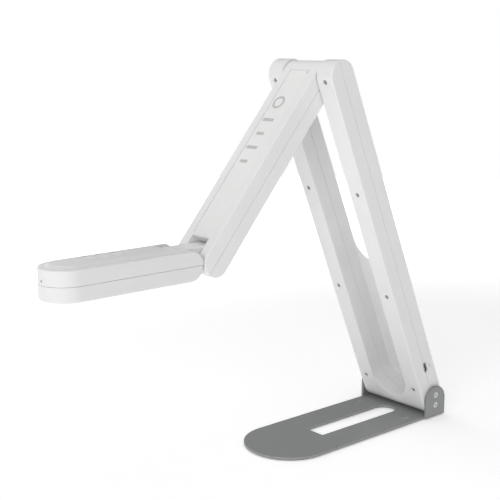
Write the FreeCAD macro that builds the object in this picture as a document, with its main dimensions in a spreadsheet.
import FreeCAD, Part
import Sketcher
import os
import re

# A folding document camera on a flat steel base.
#
# A U-shaped lower arm stands on the base, a middle arm hangs from its top between the two tines, and
# a short two-axis link joins the middle arm to the camera head. Folded, the middle arm, link and head
# lie in one line inside the lower arm's opening, and the whole pack lies flat over the base plate.
#
# Frame: Z up, the lens side to -Y, origin on the underside of the rubber foot, straight below the
# base hinge axis. Every arm is drawn in its own frame, with its hinge axis along X through the
# origin and Z running along the arm, and is then turned about X into place.

# name, millimetres (or degrees), meaning
DIMENSIONS = """
wall              2.0    wall of every plastic shell
seam              0.3    open width of the joint line between two shells
seam_depth        0.6    depth of that joint line
plate_half        40.0   half the base plate's width
plate_thick       2.0    base plate sheet
plate_reach       191.5  hinge axis to the plate's front tip
slot_half         10.4   half the width of the slot in the plate
slot_front        119.4  hinge axis to the slot's square front end
slot_rear         15.4   hinge axis to the slot's round rear end
foot_thick        1.0    rubber foot
foot_inset        1.6    foot edge inside the plate edge
plate_screw_x     30.0   screws in the plate, from the centre line
plate_screw_y     28.6   screws in the plate, in front of the hinge axis
hinge_height      17.3   base hinge axis above the table
ear_thick         2.6    turned-up ear of the plate
ear_gap           0.9    ear to the side of the lower arm
ear_radius        13.4   round top of the ear
ear_screw_half    4.85   ear screws above and below the hinge axis
hub_radius        8.5    fixed hub of the base hinge
shaft_radius      4.0    base and knee shafts
pin_radius        3.0    pins of the two-axis link
running           0.05   radial clearance of a shaft in its bore
lower_half        38.8   half the lower arm's width
lower_radius      13.35  half the lower arm's thickness, and its round ends
lower_length      333.3  base hinge axis to knee axis
lower_lean        22.9   lean of the lower arm from upright, degrees
lower_round       1.1    rounded outer edges of the lower arm
opening_half      21.05  half the width of the opening between the tines
opening_end       24.2   centre of the opening's round lower end
pocket_end        160.0  centre of the round top edge of the pocket floor
pocket_skin       0.9    thickness of the pocket floor
screw_x           30.4   column of screws in each tine
screw_first       18.3   lowest screw of a column
screw_pitch       105.0  screw to screw along a tine
screw_recess      2.15   radius of a screw's recess
spine_in          24.0   inner face of a tine's steel spine
spine_thick       2.5    steel spine
spine_half        8.0    half the depth of a spine
port_station      36.6   USB-C port along the lower arm
port_back         1.2    USB-C port behind the joint line
middle_half       20.45  half the middle arm's width
middle_radius     12.1   half the middle arm's thickness, and its round ends
middle_length     185.5  knee axis to elbow axis
middle_drop       50.3   slope of the middle arm below level, degrees
middle_round      0.8    rounded outer edges of the middle arm and the head's top
notch_half        10.6   half the notch that the link turns in
notch_deep        13.8   notch behind its axis
panel_half        12.0   half the width of the inlay in the middle arm
panel_start       3.9    inlay's upper end from the knee axis
panel_end         168.5  inlay's lower end from the knee axis
panel_recess      1.2    depth of the seat of the inlay
panel_thick       0.7    inlay
link_half         10.2   half the link's width
link_end          13.2   round ends of the link about its two axes
link_top          12.0   link's flat top above its axes
link_bottom       9.6    link's flat underside below its axes
link_pitch        25.0   elbow axis to head axis
head_half         20.45  half the head's width
head_radius       12.1   half the head's thickness, and its round rear end
head_length       119.0  head axis to the head's front tip
head_round        2.0    rounded lower edges of the head
deck_half         15.7   half the raised deck's foot
deck_top_half     12.6   half the raised deck's top
deck_height       1.85   raised deck
deck_rear         -2.5   raised deck's rear edge from the head axis
deck_slope        4.0    length of the deck's rear slope
key_x             -3.5   row of keys, from the centre line
key_half          4.4    half a key
key_first         52.0   rearmost key from the head axis
key_pitch         12.5   key to key
key_flange        0.9    a key's retaining flange beyond its cap
lens_station      95.0   lens axis from the head axis
lens_radius       8.5    lens window
lamp_station      67.0   lamp from the head axis
lamp_half         11.0   half the lamp's width
lamp_deep         4.6    half the lamp's length along the head
mic_height        3.2    microphone hole above the head's joint line
mic_radius        1.1    microphone hole
"""

SIDES = {"right": 1, "left": -1}
STATIONS = range(4)
KEYS = ("light_key", "focus_key", "rotate_key")

doc = FreeCAD.newDocument("DocumentCamera")
sheet = doc.addObject("Spreadsheet::Sheet", "Dims")
size = {}
for row, line in enumerate(DIMENSIONS.strip().splitlines(), start=1):
    alias, number, meaning = line.split(None, 2)
    sheet.set(f"A{row}", meaning)
    sheet.set(f"B{row}", number)
    sheet.setAlias(f"B{row}", alias)
    size[alias] = float(number)
doc.recompute()

ALIAS = re.compile(r"\b(" + "|".join(size) + r")\b")
KNEE_Y = "-lower_length * sin(lower_lean * 1 deg)"
KNEE_Z = "hinge_height + lower_length * cos(lower_lean * 1 deg)"
ELBOW_Y = f"{KNEE_Y} - middle_length * cos(middle_drop * 1 deg)"
ELBOW_Z = f"{KNEE_Z} - middle_length * sin(middle_drop * 1 deg)"
# where each arm's own frame stands: Y and Z of its hinge axis, and its turn about X
FRAMES = {
    "lower": ("0", "hinge_height", "lower_lean"),
    "middle": (KNEE_Y, KNEE_Z, "90 + middle_drop"),
    "link": (ELBOW_Y, ELBOW_Z, "90"),
    "head": (f"{ELBOW_Y} - link_pitch", ELBOW_Z, "90"),
}
nodes = []
probe = doc.addObject("App::FeaturePython", "Probe")


# ---------------------------------------------------------------- helpers
def formula(text):
    """A formula of the sheet's names, in the form that the document reads."""
    return ALIAS.sub(r"Dims.\1", str(text))


def bind(made, property_name, text):
    """Ties a property to a formula of the sheet's names."""
    made.setExpression(property_name, formula(text))


def worth(text):
    """The present value of a formula of the sheet's names."""
    return float(probe.evalExpression(formula(text)))


def node(made, label, frame=None):
    """Names a finished piece and stands it in its arm's frame."""
    made.Label = label
    if frame:
        y, z, turn = FRAMES[frame]
        made.Placement = FreeCAD.Placement(FreeCAD.Vector(), FreeCAD.Rotation(FreeCAD.Vector(1, 0, 0), 1))
        bind(made, "Placement.Base.y", y)
        bind(made, "Placement.Base.z", z)
        bind(made, "Placement.Rotation.Angle", turn)
    nodes.append(made)
    return made


def box(x0, x1, y0, y1, z0, z1):
    """A block between two corners."""
    made = doc.addObject("Part::Box", "Block")
    spans = (("Length", "x", x0, x1), ("Width", "y", y0, y1), ("Height", "z", z0, z1))
    for length, axis, low, high in spans:
        bind(made, length, f"({high}) - ({low})")
        bind(made, f"Placement.Base.{axis}", low)
    return made


TURNS = {"x": ((0, 1, 0), 90), "y": ((1, 0, 0), -90), "z": ((0, 0, 1), 0)}


def rod(axis, start, end, radius, across, end_radius=None):
    """A cylinder along an axis, or a cone when end_radius is given; across is its place on the other two."""
    cone = end_radius is not None
    made = doc.addObject("Part::Cone" if cone else "Part::Cylinder", "Rod")
    turn, angle = TURNS[axis]
    made.Placement = FreeCAD.Placement(FreeCAD.Vector(), FreeCAD.Rotation(FreeCAD.Vector(*turn), angle))
    bind(made, "Height", f"({end}) - ({start})")
    bind(made, "Radius1" if cone else "Radius", radius)
    if cone:
        bind(made, "Radius2", end_radius)
    others = [a for a in "xyz" if a != axis]
    for name, place in zip([axis] + others, (start,) + tuple(across)):
        bind(made, f"Placement.Base.{name}", place)
    return made


def fuse(*pieces):
    made = doc.addObject("Part::MultiFuse", "Fuse")
    made.Shapes = list(pieces)
    made.Refine = True
    return made


def group(*pieces):
    made = doc.addObject("Part::Compound", "Group")
    made.Links = list(pieces)
    return made


def cut(base, *tools):
    made = doc.addObject("Part::Cut", "Cut")
    made.Base = base
    made.Tool = tools[0] if len(tools) == 1 else group(*tools)
    made.Refine = True
    return made


def cut_each(base, tools):
    """Cuts tools that overlap one another, as one fused tool."""
    return cut(base, fuse(*tools))


def common(base, tool):
    made = doc.addObject("Part::Common", "Common")
    made.Base = base
    made.Tool = tool
    made.Refine = True
    return made


def rounded(base, radius, wanted):
    """Rounds the edges that wanted picks by their bounding box."""
    doc.recompute()
    picked = []
    for number, edge in enumerate(base.Shape.Edges, start=1):
        if wanted(edge.BoundBox):
            picked.append((number, radius, radius))
    if not picked:
        raise RuntimeError("no edge to round")
    made = doc.addObject("Part::Fillet", "Round")
    made.Base = base
    made.Edges = picked
    return made


def bar(x0, x1, radius, z0, z1):
    """A bar along Z whose two ends are round about X."""
    return fuse(
        box(x0, x1, f"-({radius})", radius, z0, z1),
        rod("x", x0, x1, radius, (0, z0)),
        rod("x", x0, x1, radius, (0, z1)),
    )


def span(side, inner, outer):
    """The X range between two distances from the centre line, on the right (1) or the left (-1)."""
    return (inner, outer) if side > 0 else (f"-({outer})", f"-({inner})")


def near(a, b):
    return abs(a - b) < 0.01


def turned(label, frame, axis, points, station="0"):
    """A turned piece: its half section, as (along, radius) points, spun about X or Y at a station."""
    body = doc.addObject("PartDesign::Body", label)
    sketch = body.newObject("Sketcher::SketchObject", "Section_" + label)
    plane = next(f for f in body.Origin.OriginFeatures if f.Role == "XY_Plane")
    sketch.AttachmentSupport = [(plane, "")]
    sketch.MapMode = "FlatFace"
    bind(sketch, "AttachmentOffset.Base.z", station)
    flat = [(along, radius) if axis == "x" else (radius, along) for along, radius in points]
    outline(sketch, flat)
    spin = body.newObject("PartDesign::Revolution", "Turn_" + label)
    spin.Profile = sketch
    spin.ReferenceAxis = (sketch, ["H_Axis" if axis == "x" else "V_Axis"])
    spin.Angle = 360
    body.Tip = spin
    return node(body, label, frame)


def outline(sketch, points):
    """A closed polygon in a sketch, each corner tied to the sheet."""
    values = [tuple(worth(c) for c in point) for point in points]
    count = len(points)
    for i, (x, y) in enumerate(values):
        x_next, y_next = values[(i + 1) % count]
        start = FreeCAD.Vector(x, y, 0)
        end = FreeCAD.Vector(x_next, y_next, 0)
        sketch.addGeometry(Part.LineSegment(start, end), False)
    for i in range(count):
        sketch.addConstraint(Sketcher.Constraint("Coincident", i, 2, (i + 1) % count, 1))
    for i, point in enumerate(points):
        for kind, text, value in zip(("DistanceX", "DistanceY"), point, values[i]):
            number = sketch.addConstraint(Sketcher.Constraint(kind, -1, 1, i, 1, value))
            bind(sketch, f"Constraints[{number}]", text)


def slab(label, frame, plane_role, points, low, high):
    """A flat piece: an outline on one of its body's planes, padded from low to high."""
    body = doc.addObject("PartDesign::Body", label)
    sketch = body.newObject("Sketcher::SketchObject", "Outline_" + label)
    plane = next(f for f in body.Origin.OriginFeatures if f.Role == plane_role)
    sketch.AttachmentSupport = [(plane, "")]
    sketch.MapMode = "FlatFace"
    bind(sketch, "AttachmentOffset.Base.z", low)
    outline(sketch, points)
    pad = body.newObject("PartDesign::Pad", "Pad_" + label)
    pad.Profile = sketch
    bind(pad, "Length", f"({high}) - ({low})")
    body.Tip = pad
    return node(body, label, frame)


# ---------------------------------------------------------------- base
def ear_screw_places():
    """Y and Z of the two screws in an ear."""
    return [("0", f"hinge_height + {sign} * ear_screw_half") for sign in (1, -1)]


def base_plate():
    low, high = "foot_thick", "foot_thick + plate_thick"
    ear_in, ear_out = "lower_half + ear_gap", "lower_half + ear_gap + ear_thick"
    nose = "-(plate_reach - plate_half)"
    pieces = [
        box("-plate_half", "plate_half", nose, "ear_radius", low, high),
        rod("z", low, high, "plate_half", ("0", nose)),
        box(f"-({ear_out})", ear_out, "-ear_radius", "ear_radius", low, high),
    ]
    for side in SIDES.values():
        x0, x1 = span(side, ear_in, ear_out)
        pieces.append(box(x0, x1, "-ear_radius", "ear_radius", low, "hinge_height"))
        pieces.append(rod("x", x0, x1, "ear_radius", ("0", "hinge_height")))
    sheet_metal = fuse(*pieces)
    rear, floor = size["ear_radius"], size["foot_thick"]
    wide = worth(ear_out)
    bent = rounded(
        sheet_metal, 1.9, lambda b: near(b.YMax, rear) and near(b.YMin, rear) and near(b.ZMax, floor)
    )
    bent = rounded(bent, 0.7, lambda b: near(abs(b.XMin), wide) and near(b.XMin, b.XMax))
    slot = [
        box(
            "-slot_half",
            "slot_half",
            "-slot_front",
            "-(slot_rear + slot_half)",
            f"{low} - 1",
            f"{high} + 1",
        ),
        rod("z", f"{low} - 1", f"{high} + 1", "slot_half", ("0", "-(slot_rear + slot_half)")),
    ]
    holes = []
    for side in SIDES.values():
        at = (f"{side} * plate_screw_x", "-plate_screw_y")
        holes.append(rod("z", f"{low} - 1", f"{high} + 1", "1.7", at))
        holes.append(rod("z", f"{high} - 1.4", high, "1.7", at, "3.2"))
        for at in ear_screw_places():
            holes.append(rod("x", *span(side, f"{ear_in} - 1", f"{ear_out} + 1"), "1.4", at))
            narrow, broad = ("1.4", "3.05") if side > 0 else ("3.05", "1.4")
            holes.append(rod("x", *span(side, f"{ear_out} - 1.5", ear_out), narrow, at, broad))
    return node(cut_each(bent, slot + holes), "base_plate")


def foot_pad():
    edge = "plate_half - foot_inset"
    nose = "-(plate_reach - plate_half)"
    rubber = fuse(
        box(f"-({edge})", edge, nose, "ear_radius - foot_inset", "0", "foot_thick"),
        rod("z", "0", "foot_thick", edge, ("0", nose)),
    )
    wide = "slot_half + foot_inset"
    openings = [
        box(
            f"-({wide})",
            wide,
            "-(slot_front + foot_inset)",
            "-(slot_rear + slot_half)",
            "-1",
            "foot_thick + 1",
        ),
        rod("z", "-1", "foot_thick + 1", wide, ("0", "-(slot_rear + slot_half)")),
    ]
    for side in SIDES.values():
        x0, x1 = span(side, "plate_screw_x - 6.2", "plate_screw_x + 5.7")
        openings.append(
            box(x0, x1, "-(plate_screw_y + 6.2)", "-(plate_screw_y - 6.2)", "-1", "foot_thick + 1")
        )
    return node(cut_each(rubber, openings), "base_foot_pad")


def nut_plates():
    """Two threaded steel plates under the base plate, let into the foot."""
    plates = []
    for side in SIDES.values():
        x0, x1 = span(side, "plate_screw_x - 6", "plate_screw_x + 5.5")
        blank = box(x0, x1, "-(plate_screw_y + 6)", "-(plate_screw_y - 6)", "0.2", "foot_thick")
        bore = rod("z", "0", "foot_thick + 1", "1.3", (f"{side} * plate_screw_x", "-plate_screw_y"))
        plates.append(cut(blank, bore))
    return node(group(*plates), "plate_nut_plates")


def plate_screws():
    top = "foot_thick + plate_thick"
    screws = []
    for side in SIDES.values():
        at = (f"{side} * plate_screw_x", "-plate_screw_y")
        solid = fuse(
            rod("z", "0.3", f"{top} - 1.25", "1.25", at),
            rod("z", f"{top} - 1.35", f"{top} - 0.3", "1.6", at, "2.7"),
        )
        recess = cross("z", f"{top} - 0.9", top, at)
        screws.append(cut_each(solid, recess))
    return node(group(*screws), "base_plate_screws")


def cross(axis, start, end, across):
    """The two bars of a cross recess, driven along an axis."""
    arms = []
    for long_way, short_way in (("1.45", "0.36"), ("0.36", "1.45")):
        a, b = across
        first = (f"{a} - {long_way}", f"{a} + {long_way}")
        second = (f"{b} - {short_way}", f"{b} + {short_way}")
        ranges = {
            "x": [(start, end), first, second],
            "y": [first, (start, end), second],
            "z": [first, second, (start, end)],
        }
        (x0, x1), (y0, y1), (z0, z1) = ranges[axis]
        arms.append(box(x0, x1, y0, y1, z0, z1))
    return arms


def ear_screws():
    face = "lower_half + ear_gap + ear_thick"
    screws = []
    for side in SIDES.values():
        for at in ear_screw_places():
            shank = rod("x", *span(side, f"{face} - 6.4", f"{face} - 1.4"), "1.2", at)
            narrow, broad = ("1.3", "2.8") if side > 0 else ("2.8", "1.3")
            head = rod("x", *span(side, f"{face} - 1.5", f"{face} - 0.2"), narrow, at, broad)
            recess = cross("x", *span(side, f"{face} - 1.3", face), at)
            screws.append(cut_each(fuse(shank, head), recess))
    return node(group(*screws), "ear_screws")


def base_hinge_hub(name, side):
    """The fixed half of a base hinge: flange, hub and shaft in one turned piece, screwed to the ear."""
    stations = (
        ("lower_half + ear_gap", "12"),
        ("lower_half + ear_gap - 0.45", "12"),
        ("lower_half + ear_gap - 0.45", "hub_radius"),
        ("lower_half - 4.8", "hub_radius"),
        ("lower_half - 4.8", "shaft_radius"),
        ("spine_in + 0.6", "shaft_radius"),
    )
    profile = [("lower_half + ear_gap", "0")] + list(stations) + [("spine_in + 0.6", "0")]
    points = [(f"{side} * ({x})", r) for x, r in profile]
    hub = turned(f"base_hinge_hub_{name}", None, "x", points)
    bind(hub, "Placement.Base.z", "hinge_height")
    nodes.remove(hub)
    holes = []
    for at in ear_screw_places():
        holes.append(rod("x", *span(side, "lower_half - 3.2", "lower_half + ear_gap + 1"), "1.25", at))
    hub.Label = f"Turned_hub_{name}"
    return node(cut(hub, *holes), f"base_hinge_hub_{name}")


# ---------------------------------------------------------------- lower arm
ARM_TOP = "lower_length + lower_radius + 1"


def opening(grow, front, rear):
    """The space between the tines down to its round lower end, grown all round by some millimetres."""
    half = f"opening_half + {grow}"
    return fuse(
        box(f"-({half})", half, front, rear, "opening_end", ARM_TOP),
        rod("y", front, rear, half, ("0", "opening_end")),
    )


def screw_places():
    return [
        (f"{side} * screw_x", f"screw_first + {i} * screw_pitch")
        for side in SIDES.values() for i in STATIONS
    ]


def lower_frame():
    """Both shells of the lower arm as one hollow frame, before they are parted at the joint line."""
    blank = bar("-lower_half", "lower_half", "lower_radius", "0", "lower_length")
    half = size["lower_half"]
    blank = rounded(
        blank, size["lower_round"], lambda b: near(b.XMin, b.XMax) and near(abs(b.XMin), half)
    )
    outside = "lower_radius + 1"
    pocket = opening("0", f"-({outside})", "lower_radius - pocket_skin")
    window = fuse(
        box("-opening_half", "opening_half", "0", outside, "pocket_end", ARM_TOP),
        rod("y", "0", outside, "opening_half", ("0", "pocket_end")),
    )
    frame = cut_each(blank, [pocket, window])
    thick, inner = size["lower_radius"], size["opening_half"]

    def opening_rim(b):
        flat = near(b.YMin, b.YMax) and near(abs(b.YMin), thick)
        return flat and b.XMax < inner + 0.01 and b.XMin > -inner - 0.01 and b.ZMax - b.ZMin > 1

    frame = rounded(frame, 0.6, opening_rim)
    inside = "lower_radius - wall"
    hollow = bar("-(lower_half - wall)", "lower_half - wall", inside, "0", "lower_length")
    return cut(frame, cut(hollow, opening("wall", f"-({outside})", outside)))


def joint_line():
    """The narrow groove that shows where the two shells of the lower arm meet, outside and in the opening."""
    wide = "lower_half + 1"
    band = box(f"-({wide})", wide, "-seam / 2", "seam / 2", "-(lower_radius + 1)", ARM_TOP)
    core = bar(
        "-(lower_half - seam_depth)",
        "lower_half - seam_depth",
        "lower_radius - seam_depth",
        "0",
        "lower_length",
    )
    return cut(band, cut(core, opening("seam_depth", "-lower_radius", "lower_radius")))


def port_cutter(grow, x0, x1):
    """A stadium along the arm, for the USB-C port and the hole in front of it."""
    half = f"(1.63 + {grow})"
    pieces = []
    reach = "(2.84 + {grow} / 6)".format(grow=grow)
    low, high = f"port_station - {reach}", f"port_station + {reach}"
    pieces.append(box(x0, x1, f"port_back - {half}", f"port_back + {half}", low, high))
    for sign in (1, -1):
        pieces.append(rod("x", x0, x1, half, ("port_back", f"port_station + {sign} * {reach}")))
    return fuse(*pieces)


def lower_shells():
    frame = lower_frame()
    wide = "lower_half + 1"
    behind = box(f"-({wide})", wide, "0", "lower_radius + 1", "-(lower_radius + 1)", ARM_TOP)
    before = box(f"-({wide})", wide, "-(lower_radius + 1)", "0", "-(lower_radius + 1)", ARM_TOP)
    line = joint_line()
    side_holes = []
    for side in SIDES.values():
        x0, x1 = span(side, "lower_half - wall - 1", "lower_half + 1")
        side_holes.append(rod("x", x0, x1, "hub_radius + 0.4", ("0", "0")))
        x0, x1 = span(side, "opening_half - 1", "opening_half + wall + 0.5")
        side_holes.append(rod("x", x0, x1, "shaft_radius + 0.4", ("0", "lower_length")))
    side_holes.append(port_cutter("0.8", "lower_half - wall - 0.5", "lower_half + 1"))

    inside = "lower_radius - wall"
    screw_holes = []
    bosses = []
    pilots = []
    for at in screw_places():
        screw_holes.append(rod("y", "-(lower_radius + 1)", f"-({inside}) + 1", "1.4", at))
        screw_holes.append(rod("y", "-(lower_radius + 1)", "-(lower_radius - 1.3)", "screw_recess", at))
        bosses.append(rod("y", f"-({inside})", f"{inside} + 0.5", "2.9", at))
        pilots.append(rod("y", f"-({inside}) - 1", "0", "1.25", at))
    front = cut_each(frame, [behind, line] + side_holes + screw_holes)
    node(front, "lower_front_shell", "lower")
    rear = cut_each(frame, [before, line] + side_holes)
    node(cut(fuse(rear, *bosses), *pilots), "lower_rear_shell", "lower")


def pan_screw(axis, seat, tip, direction, at):
    """A pan-head screw: its head stands on the seat, its shank runs to the tip."""
    head_top = f"{seat} - {direction} * 0.9"
    low_head, high_head = (head_top, seat) if direction > 0 else (seat, head_top)
    low_shank, high_shank = (seat, tip) if direction > 0 else (tip, seat)
    solid = fuse(
        rod(axis, low_head, high_head, "1.95", at),
        rod(axis, f"{low_shank} - 0.05", f"{high_shank} + 0.05", "1.2", at),
    )
    deep = f"{head_top} + {direction} * 0.6"
    low, high = (head_top, deep) if direction > 0 else (deep, head_top)
    return cut_each(solid, cross(axis, low, high, at))


def lower_screws():
    seat = "-(lower_radius - 1.3)"
    screws = [pan_screw("y", seat, "-3.5", 1, at) for at in screw_places()]
    return node(group(*screws), "lower_arm_screws", "lower")


def spine(name, side):
    """A steel strip in a tine that ties the base hinge to the knee."""
    x0, x1 = span(side, "spine_in", "spine_in + spine_thick")
    strip = bar(x0, x1, "spine_half", "0", "lower_length")
    wide = span(side, "spine_in - 1", "spine_in + spine_thick + 1")
    base_bore = rod("x", *wide, "shaft_radius + running", ("0", "0"))
    knee_bore = rod("x", *wide, "shaft_radius", ("0", "lower_length"))
    return node(cut(strip, base_bore, knee_bore), f"lower_spine_{name}", "lower")


def friction_sleeve(name, side):
    """The split steel sleeve that grips a base shaft and holds the arm where it is put."""
    inner, outer = "spine_in + spine_thick", "lower_half - 5.3"
    x0, x1 = span(side, inner, outer)
    ring = rod("x", x0, x1, "7.5", ("0", "0"))
    block = box(x0, x1, "-7.5", "7.5", "0", "9.5")
    bore = rod("x", *span(side, f"{inner} - 1", f"{outer} + 1"), "shaft_radius + running", ("0", "0"))
    slit = box(*span(side, f"{inner} - 1", f"{outer} + 1"), "-0.4", "0.4", "2", "10")
    return node(cut_each(fuse(ring, block), [bore, slit]), f"base_friction_sleeve_{name}", "lower")


def knee_shaft(name, side):
    points = [
        ("10.5", "0"),
        ("10.5", "shaft_radius"),
        ("spine_in + spine_thick", "shaft_radius"),
        ("spine_in + spine_thick", "0"),
    ]
    turned(
        f"knee_shaft_{name}", "lower", "x", [(f"{side} * ({x})", r) for x, r in points], "lower_length"
    )


def lower_electronics():
    board_top = "port_back + 2.63"
    points = [("27.6", "24"), ("36.2", "24"), ("36.2", "112"), ("27.6", "112")]
    # the board lies parallel to the front face, so its outline is drawn in the plane across the arm
    slab("main_board", "lower", "XZ_Plane", points, f"-({board_top})", f"-({board_top} - 1)")
    shell = cut(port_cutter("0", "31.5", "lower_half - 0.5"), port_cutter("-0.35", "31.9", "lower_half"))
    tongue = box(
        "31.6",
        "lower_half - 1.6",
        "port_back - 0.35",
        "port_back + 0.35",
        "port_station - 3.2",
        "port_station + 3.2",
    )
    node(fuse(shell, tongue), "usb_c_port", "lower")
    points = [("28.4", "58"), ("35.2", "58"), ("35.2", "66"), ("28.4", "66")]
    slab("video_processor", "lower", "XZ_Plane", points, f"-({board_top} + 1.9)", f"-({board_top})")
    node(group(rod("z", "30", "lower_length - 14", "1.1", ("34.8", "-5"))), "lower_arm_cable", "lower")


# ---------------------------------------------------------------- middle arm
MIDDLE_END = "middle_length + middle_radius + 1"


def middle_shells():
    blank = bar("-middle_half", "middle_half", "middle_radius", "0", "middle_length")
    half = size["middle_half"]
    blank = rounded(
        blank, size["middle_round"], lambda b: near(b.XMin, b.XMax) and near(abs(b.XMin), half)
    )
    wide = "middle_radius + 1"
    start = "middle_length - notch_deep"
    notch = box("-notch_half", "notch_half", f"-({wide})", wide, start, MIDDLE_END)
    notched = cut(blank, notch)
    inner, thick = size["notch_half"], size["middle_radius"]

    def lip(b):
        """The notch's long edge across the arm's upper face."""
        across = near(b.ZMin, b.ZMax) and near(b.XMax, inner)
        return across and near(b.YMin, thick) and near(b.YMax, thick)

    def side_edge(b):
        """The notch's edges along the arm."""
        return near(b.XMin, b.XMax) and near(abs(b.XMin), inner) and b.ZMax - b.ZMin > 1

    notched = rounded(notched, 1.0, lip)
    notched = rounded(notched, 0.5, side_edge)
    inside = "middle_radius - wall"
    hollow = bar("-(middle_half - wall)", "middle_half - wall", inside, "0", "middle_length")
    around = box(
        "-(notch_half + wall)", "notch_half + wall", f"-({wide})", wide, f"{start} - wall", MIDDLE_END
    )
    frame = cut(notched, cut(hollow, around))

    side = "middle_half + 1"
    below = box(f"-({side})", side, f"-({wide})", "0", f"-({wide})", MIDDLE_END)
    above = box(f"-({side})", side, "0", wide, f"-({wide})", MIDDLE_END)
    band = box(f"-({side})", side, "-seam / 2", "seam / 2", f"-({wide})", MIDDLE_END)
    core = bar(
        "-(middle_half - seam_depth)",
        "middle_half - seam_depth",
        "middle_radius - seam_depth",
        "0",
        "middle_length",
    )
    core_notch = box(
        "-(notch_half + seam_depth)",
        "notch_half + seam_depth",
        "-1",
        "1",
        f"{start} - seam_depth",
        MIDDLE_END,
    )
    line = cut(band, cut(core, core_notch))
    holes = []
    for sign in SIDES.values():
        x0, x1 = span(sign, "middle_half - wall - 0.5", "middle_half + 1")
        holes.append(rod("x", x0, x1, "shaft_radius + 0.4", ("0", "0")))
        x0, x1 = span(sign, "notch_half - 1", "notch_half + wall + 0.5")
        holes.append(rod("x", x0, x1, "pin_radius + 0.2", ("0", "middle_length")))
    seat = box(
        "-panel_half", "panel_half", "middle_radius - panel_recess", wide, "panel_start", "panel_end"
    )
    light = rod("y", "middle_radius - wall - 1", wide, "0.95", ("panel_half - 2.4", "panel_start + 2.4"))
    bosses = []
    pilots = []
    screw_holes = []
    for at in middle_screw_places():
        bosses.append(rod("y", f"-({inside})", f"{inside} + 0.3", "2.6", at))
        pilots.append(rod("y", f"-({inside}) - 1", "0", "1.25", at))
        screw_holes.append(rod("y", f"-({wide})", f"-({inside}) + 1", "1.4", at))
        screw_holes.append(rod("y", f"-({wide})", "-(middle_radius - 1.3)", "screw_recess", at))
    front = cut_each(frame, [below, line, seat, light] + holes)
    node(cut(fuse(front, *bosses), *pilots), "middle_front_shell", "middle")
    node(cut_each(frame, [above, line] + holes + screw_holes), "middle_rear_shell", "middle")


def middle_screw_places():
    return [(f"{side} * 8", f"{station}") for side in SIDES.values() for station in (26, 152)]


def middle_screws():
    seat = "-(middle_radius - 1.3)"
    return node(
        group(*[pan_screw("y", seat, "-3.5", 1, at) for at in middle_screw_places()]),
        "middle_arm_screws",
        "middle",
    )


def middle_inlay():
    edge = "panel_half - 0.15"
    start, end = "panel_start + 0.15", "panel_end - 0.15"
    floor = "middle_radius - panel_recess"
    plate = box(f"-({edge})", edge, floor, f"{floor} + panel_thick", start, end)
    at = ("panel_half - 2.4", "panel_start + 2.4")
    node(cut(plate, rod("y", floor, f"{floor} + 2", "0.95", at)), "middle_inlay_panel", "middle")
    node(
        group(rod("y", "middle_radius - wall - 1", f"{floor} + panel_thick", "0.85", at)),
        "status_light_pipe",
        "middle",
    )


def middle_spine(name, side):
    """A steel strip beside the arm's side wall that ties the knee bush to the elbow pin."""
    x0, x1 = span(side, "13.2", "15.4")
    strip = bar(x0, x1, "6.8", "0", "middle_length")
    wide = span(side, "12", "16")
    knee_bore = rod("x", *wide, "5.5", ("0", "0"))
    elbow_bore = rod("x", *wide, "pin_radius", ("0", "middle_length"))
    node(cut(strip, knee_bore, elbow_bore), f"middle_spine_{name}", "middle")


def knee_bush(name, side):
    """The bronze bush that turns on a knee shaft."""
    bore = "shaft_radius + running"
    points = [
        ("11", bore), ("11", "5.5"), ("15.4", "5.5"), ("15.4", "6.6"), ("18.2", "6.6"), ("18.2", bore)
    ]
    turned(f"knee_bush_{name}", "middle", "x", [(f"{side} * ({x})", r) for x, r in points])


def hinge_pin(label, frame, station):
    points = [("-17.8", "0"), ("-17.8", "pin_radius"), ("17.8", "pin_radius"), ("17.8", "0")]
    turned(label, frame, "x", points, station)


# ---------------------------------------------------------------- link
def link():
    """A block with two round ends, cut flat above and below."""
    round_bar = bar("-link_half", "link_half", "link_end", "0", "link_pitch")
    flats = box(
        "-link_half", "link_half", "-link_bottom", "link_top", "-link_end", "link_pitch + link_end"
    )
    block = common(round_bar, flats)
    half = size["link_half"]
    block = rounded(block, 0.6, lambda b: near(b.XMin, b.XMax) and near(abs(b.XMin), half))
    bores = []
    for station in ("0", "link_pitch"):
        bores.append(rod("x", "-link_half - 1", "link_half + 1", "pin_radius + 0.6", ("0", station)))
        for side in SIDES.values():
            x0, x1 = span(side, "link_half - 4", "link_half + 1")
            bores.append(rod("x", x0, x1, "pin_radius + 1.5", ("0", station)))
    node(cut_each(block, bores), "elbow_link", "link")
    for label, station in (("elbow_bushes", "0"), ("head_bushes", "link_pitch")):
        rings = []
        for side in SIDES.values():
            x0, x1 = span(side, "link_half - 4", "link_half")
            ring = rod("x", x0, x1, "pin_radius + 1.5", ("0", station))
            bore = rod(
                "x", *span(side, "link_half - 5", "link_half + 1"), "pin_radius + running", ("0", station)
            )
            rings.append(cut(ring, bore))
        node(group(*rings), label, "link")


# ---------------------------------------------------------------- head
NOSE = "head_length - head_half"
HEAD_TOP = "head_radius + deck_height"
KEY_STATIONS = [f"key_first + {i} * key_pitch" for i in range(len(KEYS))]


def head_blank(inset, radius):
    """The head's outline, inset all round, with its long edges rounded when radius isn't zero."""
    half, thick = f"(head_half - {inset})", f"(head_radius - {inset})"
    blank = fuse(
        box(f"-{half}", half, f"-{thick}", thick, "0", NOSE),
        rod("x", f"-{half}", half, thick, ("0", "0")),
        rod("y", f"-{thick}", thick, half, ("0", NOSE)),
    )
    if not radius:
        return blank
    edge = worth(half)
    return rounded(blank, radius, lambda b: near(b.XMin, b.XMax) and near(abs(b.XMin), edge))


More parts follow.
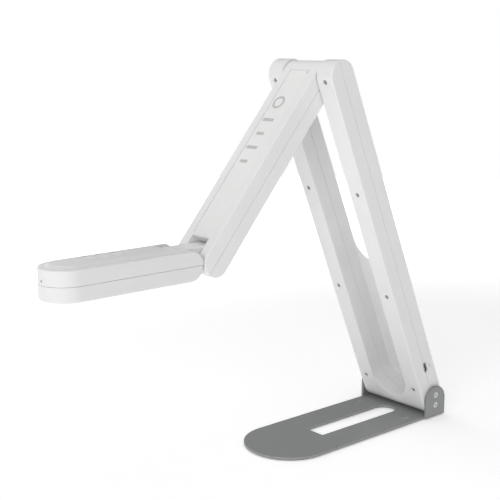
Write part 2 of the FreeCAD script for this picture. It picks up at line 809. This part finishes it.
def head_halves():
    side, front = "head_half + 1", "head_length + 1"
    upper = box(f"-({side})", side, "0", f"{HEAD_TOP} + 1", "-(head_radius + 1)", front)
    lower = box(f"-({side})", side, "-(head_radius + 1)", "0", "-(head_radius + 1)", front)
    band = box(f"-({side})", side, "-seam / 2", "seam / 2", "-(head_radius + 1)", front)
    notch = box(
        "-notch_half",
        "notch_half",
        "-(head_radius + 1)",
        f"{HEAD_TOP} + 1",
        "-(head_radius + 1)",
        "notch_deep",
    )
    around = box(
        "-(notch_half + wall)",
        "notch_half + wall",
        "-head_radius",
        "head_radius",
        "-head_radius",
        "notch_deep + wall",
    )
    core_notch = box(
        "-(notch_half + seam_depth)",
        "notch_half + seam_depth",
        "-1",
        "1",
        "-head_radius",
        "notch_deep + seam_depth",
    )
    line = cut(band, cut(head_blank("seam_depth", 0), core_notch))
    hollow = cut(head_blank("wall", 0), around)
    pins = []
    for sign in SIDES.values():
        x0, x1 = span(sign, "notch_half - 1", "notch_half + wall + 0.5")
        pins.append(rod("x", x0, x1, "pin_radius + 0.2", ("0", "0")))
    return upper, lower, line, notch, hollow, pins


def deck():
    """The raised deck on the head: sloping sides, a round front."""
    ramp = doc.addObject("Part::Wedge", "Deck")
    formulas = {
        "Xmin": "-deck_half", "Xmax": "deck_half", "X2min": "-deck_top_half", "X2max": "deck_top_half",
        "Ymin": "head_radius - 0.4", "Ymax": HEAD_TOP,
        "Zmin": "deck_rear", "Zmax": NOSE, "Z2min": "deck_rear + deck_slope", "Z2max": NOSE,
    }
    for name, text in formulas.items():
        bind(ramp, name, text)
    return fuse(ramp, rod("y", "head_radius", HEAD_TOP, "deck_half", ("0", NOSE), "deck_top_half"))


def head_top_cover():
    upper, lower, line, notch, hollow, pins = head_halves()
    crisp = head_blank("0", size["middle_round"])
    solid = fuse(common(crisp, upper), deck())
    deck_room = box(
        "-(deck_top_half - wall)",
        "deck_top_half - wall",
        "0",
        f"{HEAD_TOP} - wall",
        "notch_deep + wall",
        NOSE,
    )
    windows = []
    for station in KEY_STATIONS:
        half = "key_half + 0.3"
        x0, x1 = f"key_x - ({half})", f"key_x + {half}"
        z0, z1 = f"{station} - ({half})", f"{station} + {half}"
        windows.append(box(x0, x1, "0", f"{HEAD_TOP} + 1", z0, z1))
    microphone = rod("z", NOSE, "head_length + 1", "mic_radius", ("0", "mic_height"))
    cover = cut_each(solid, [line, notch, hollow, deck_room, microphone] + windows + pins)
    bosses = [rod("y", "0", "head_radius - wall + 0.3", "2.6", at) for at in head_screw_places()]
    pilots = [rod("y", "-1", "6", "1.25", at) for at in head_screw_places()]
    node(cut(fuse(cover, *bosses), *pilots), "head_top_cover", "head")


def head_screw_places():
    return [(f"{side} * {x}", z) for side in SIDES.values() for x, z in (("15.2", "56"), ("12.6", "107"))]


def head_bottom_cover():
    upper, lower, line, notch, hollow, pins = head_halves()
    soft = head_blank("0", size["head_round"])
    solid = common(soft, lower)
    lens_hole = rod("y", "-(head_radius + 1)", "0", "lens_radius + 2.1", ("0", "lens_station"))
    lamp_hole = box(
        "-(lamp_half + 0.2)",
        "lamp_half + 0.2",
        "-(head_radius + 1)",
        "0",
        "lamp_station - lamp_deep - 0.2",
        "lamp_station + lamp_deep + 0.2",
    )
    cover = cut_each(solid, [line, notch, hollow, lens_hole, lamp_hole] + pins)
    inside = "head_radius - wall"
    towers = [rod("y", f"-({inside} + 0.3)", "0", "2.6", at) for at in head_screw_places()]
    holes = []
    for at in head_screw_places():
        holes.append(rod("y", "-(head_radius + 1)", "1", "1.4", at))
        holes.append(rod("y", "-(head_radius + 1)", "-(head_radius - 2.2)", "screw_recess", at))
    node(cut(fuse(cover, *towers), fuse(*holes)), "head_bottom_cover", "head")


def head_screws():
    seat = "-(head_radius - 2.2)"
    return node(
        group(*[pan_screw("y", seat, "5", 1, at) for at in head_screw_places()]), "head_screws", "head"
    )


def keys():
    """Three keys flush with the deck: a square cap with a flange that keeps it under the cover."""
    for label, station in zip(KEYS, KEY_STATIONS):
        cap = box(
            "key_x - key_half",
            "key_x + key_half",
            "head_radius - 1.4",
            HEAD_TOP,
            f"{station} - key_half",
            f"{station} + key_half",
        )
        cap = rounded(cap, 1.2, lambda b: near(b.XMin, b.XMax) and near(b.ZMin, b.ZMax))
        wide = "(key_half + key_flange)"
        flange = box(
            f"key_x - {wide}",
            f"key_x + {wide}",
            "head_radius - 1.4",
            "head_radius - 0.7",
            f"{station} - {wide}",
            f"{station} + {wide}",
        )
        node(fuse(cap, flange), label, "head")


def head_boards():
    node(box_board("-11.2", "11.2", "5", "6", "20", "80"), "key_board", "head")
    tops = []
    for station in KEY_STATIONS:
        tops.append(
            box("key_x - 2", "key_x + 2", "6", "head_radius - 2.3", f"{station} - 2", f"{station} + 2")
        )
    node(group(*tops), "key_switches", "head")
    board = box_board("-9.4", "9.4", "1.4", "2.4", "lens_station - 12", "lens_station + 9.5")
    node(board, "camera_board", "head")
    node(
        group(box("-4", "4", "0.3", "1.4", "lens_station - 4", "lens_station + 4")),
        "image_sensor",
        "head",
    )
    node(
        box_board(
            "-12", "12", "-8.2", "-7.2", "lamp_station - lamp_deep - 1", "lamp_station + lamp_deep + 1"
        ),
        "lamp_board",
        "head",
    )
    leds = []
    for column in range(-2, 3):
        x0, x1 = f"{column} * 4 - 0.9", f"{column} * 4 + 0.9"
        leds.append(box(x0, x1, "-9.1", "-8.2", "lamp_station - 1.1", "lamp_station + 1.1"))
    node(group(*leds), "lamp_leds", "head")
    capsule = fuse(
        rod("z", f"{NOSE} + 14.2", f"{NOSE} + 18.2", "2", ("0", "mic_height")),
        box("-3", "3", "mic_height - 3", "mic_height + 3", f"{NOSE} + 12.6", f"{NOSE} + 14.2"),
    )
    node(capsule, "microphone", "head")


def box_board(x0, x1, y0, y1, z0, z1):
    """A circuit board with two fixing holes at opposite corners."""
    plate = box(x0, x1, y0, y1, z0, z1)
    holes = []
    for x, z in ((f"{x0} + 2", f"{z0} + 2"), (f"{x1} - 2", f"{z1} - 2")):
        holes.append(rod("y", f"{y0} - 1", f"{y1} + 1", "0.9", (x, z)))
    return cut(plate, *holes)


def lens_stack():
    """Window, bezel, barrel and two glass elements on the lens axis, turned about Y."""
    face = "-(head_radius - 0.35)"
    bezel = [(face, "lens_radius"), (face, "lens_radius + 2"), ("-(head_radius - wall)", "lens_radius + 2"),
             ("-(head_radius - wall - 0.8)", "lens_radius + 2"), (
                 "-(head_radius - wall - 0.8)", "lens_radius - 1.2"
             ),
             (f"{face} + 1.4", "lens_radius - 1.2"), (f"{face} + 1.4", "lens_radius")]
    turned("lens_bezel", "head", "y", bezel, "lens_station")
    window = [
        (f"{face} + 0.5", "0"),
        (f"{face} + 0.5", "lens_radius - 0.05"),
        (f"{face} + 1.4", "lens_radius - 0.05"),
        (f"{face} + 1.4", "0"),
    ]
    turned("lens_window", "head", "y", window, "lens_station")
    barrel = [("-8.6", "4.4"), ("-8.6", "5.4"), ("-4.4", "5.4"), ("-4.4", "6.4"), ("0.2", "6.4"), ("0.2", "4.2"),
              ("-4.6", "4.2"), ("-4.6", "4.4")]
    turned("lens_barrel", "head", "y", barrel, "lens_station")
    front = [("-8.3", "0"), ("-7.9", "4.35"), ("-6.4", "4.35"), ("-6.4", "0")]
    turned("lens_front_element", "head", "y", front, "lens_station")
    rear = [("-3.8", "0"), ("-3.8", "4.15"), ("-2.2", "4.15"), ("-1.8", "0")]
    turned("lens_rear_element", "head", "y", rear, "lens_station")
    face_points = [
        (f"{sx} * lamp_half", f"lamp_station + {sz} * lamp_deep")
        for sx, sz in ((-1, -1), (1, -1), (1, 1), (-1, 1))
    ]
    slab(
        "lamp_diffuser", "head", "XZ_Plane", face_points, "head_radius - wall + 0.2", "head_radius - 0.3"
    )


def head_hinge_plate(name, side):
    x0, x1 = span(side, "13.2", "15.4")
    strip = fuse(
        box(x0, x1, "-4.4", "4.4", "0", "44"),
        rod("x", x0, x1, "4.4", ("0", "0")),
    )
    node(
        cut(strip, rod("x", *span(side, "12", "16"), "pin_radius", ("0", "0"))),
        f"head_hinge_plate_{name}",
        "head",
    )


# ---------------------------------------------------------------- build, check, write
base_plate()
foot_pad()
nut_plates()
plate_screws()
ear_screws()
lower_shells()
lower_screws()
lower_electronics()
middle_shells()
middle_screws()
middle_inlay()
link()
head_top_cover()
head_bottom_cover()
head_screws()
keys()
head_boards()
lens_stack()
hinge_pin("elbow_pin", "middle", "middle_length")
hinge_pin("head_pin", "head", "0")
for side_name, side_sign in SIDES.items():
    base_hinge_hub(side_name, side_sign)
    spine(side_name, side_sign)
    friction_sleeve(side_name, side_sign)
    knee_shaft(side_name, side_sign)
    middle_spine(side_name, side_sign)
    knee_bush(side_name, side_sign)
    head_hinge_plate(side_name, side_sign)

doc.recompute()
failed = [o.Label for o in doc.Objects if "Invalid" in o.State or "Error" in o.State]
if failed:
    raise RuntimeError("not computed: " + ", ".join(failed))
for piece in nodes:
    if piece.Shape.isNull() or not piece.Shape.isValid() or not piece.Shape.Solids:
        raise RuntimeError("bad shape: " + piece.Label)
os.makedirs("parts", exist_ok=True)
for piece in nodes:
    piece.Shape.exportStep(f"parts/{piece.Label}.step")
print(len(nodes), "nodes written")
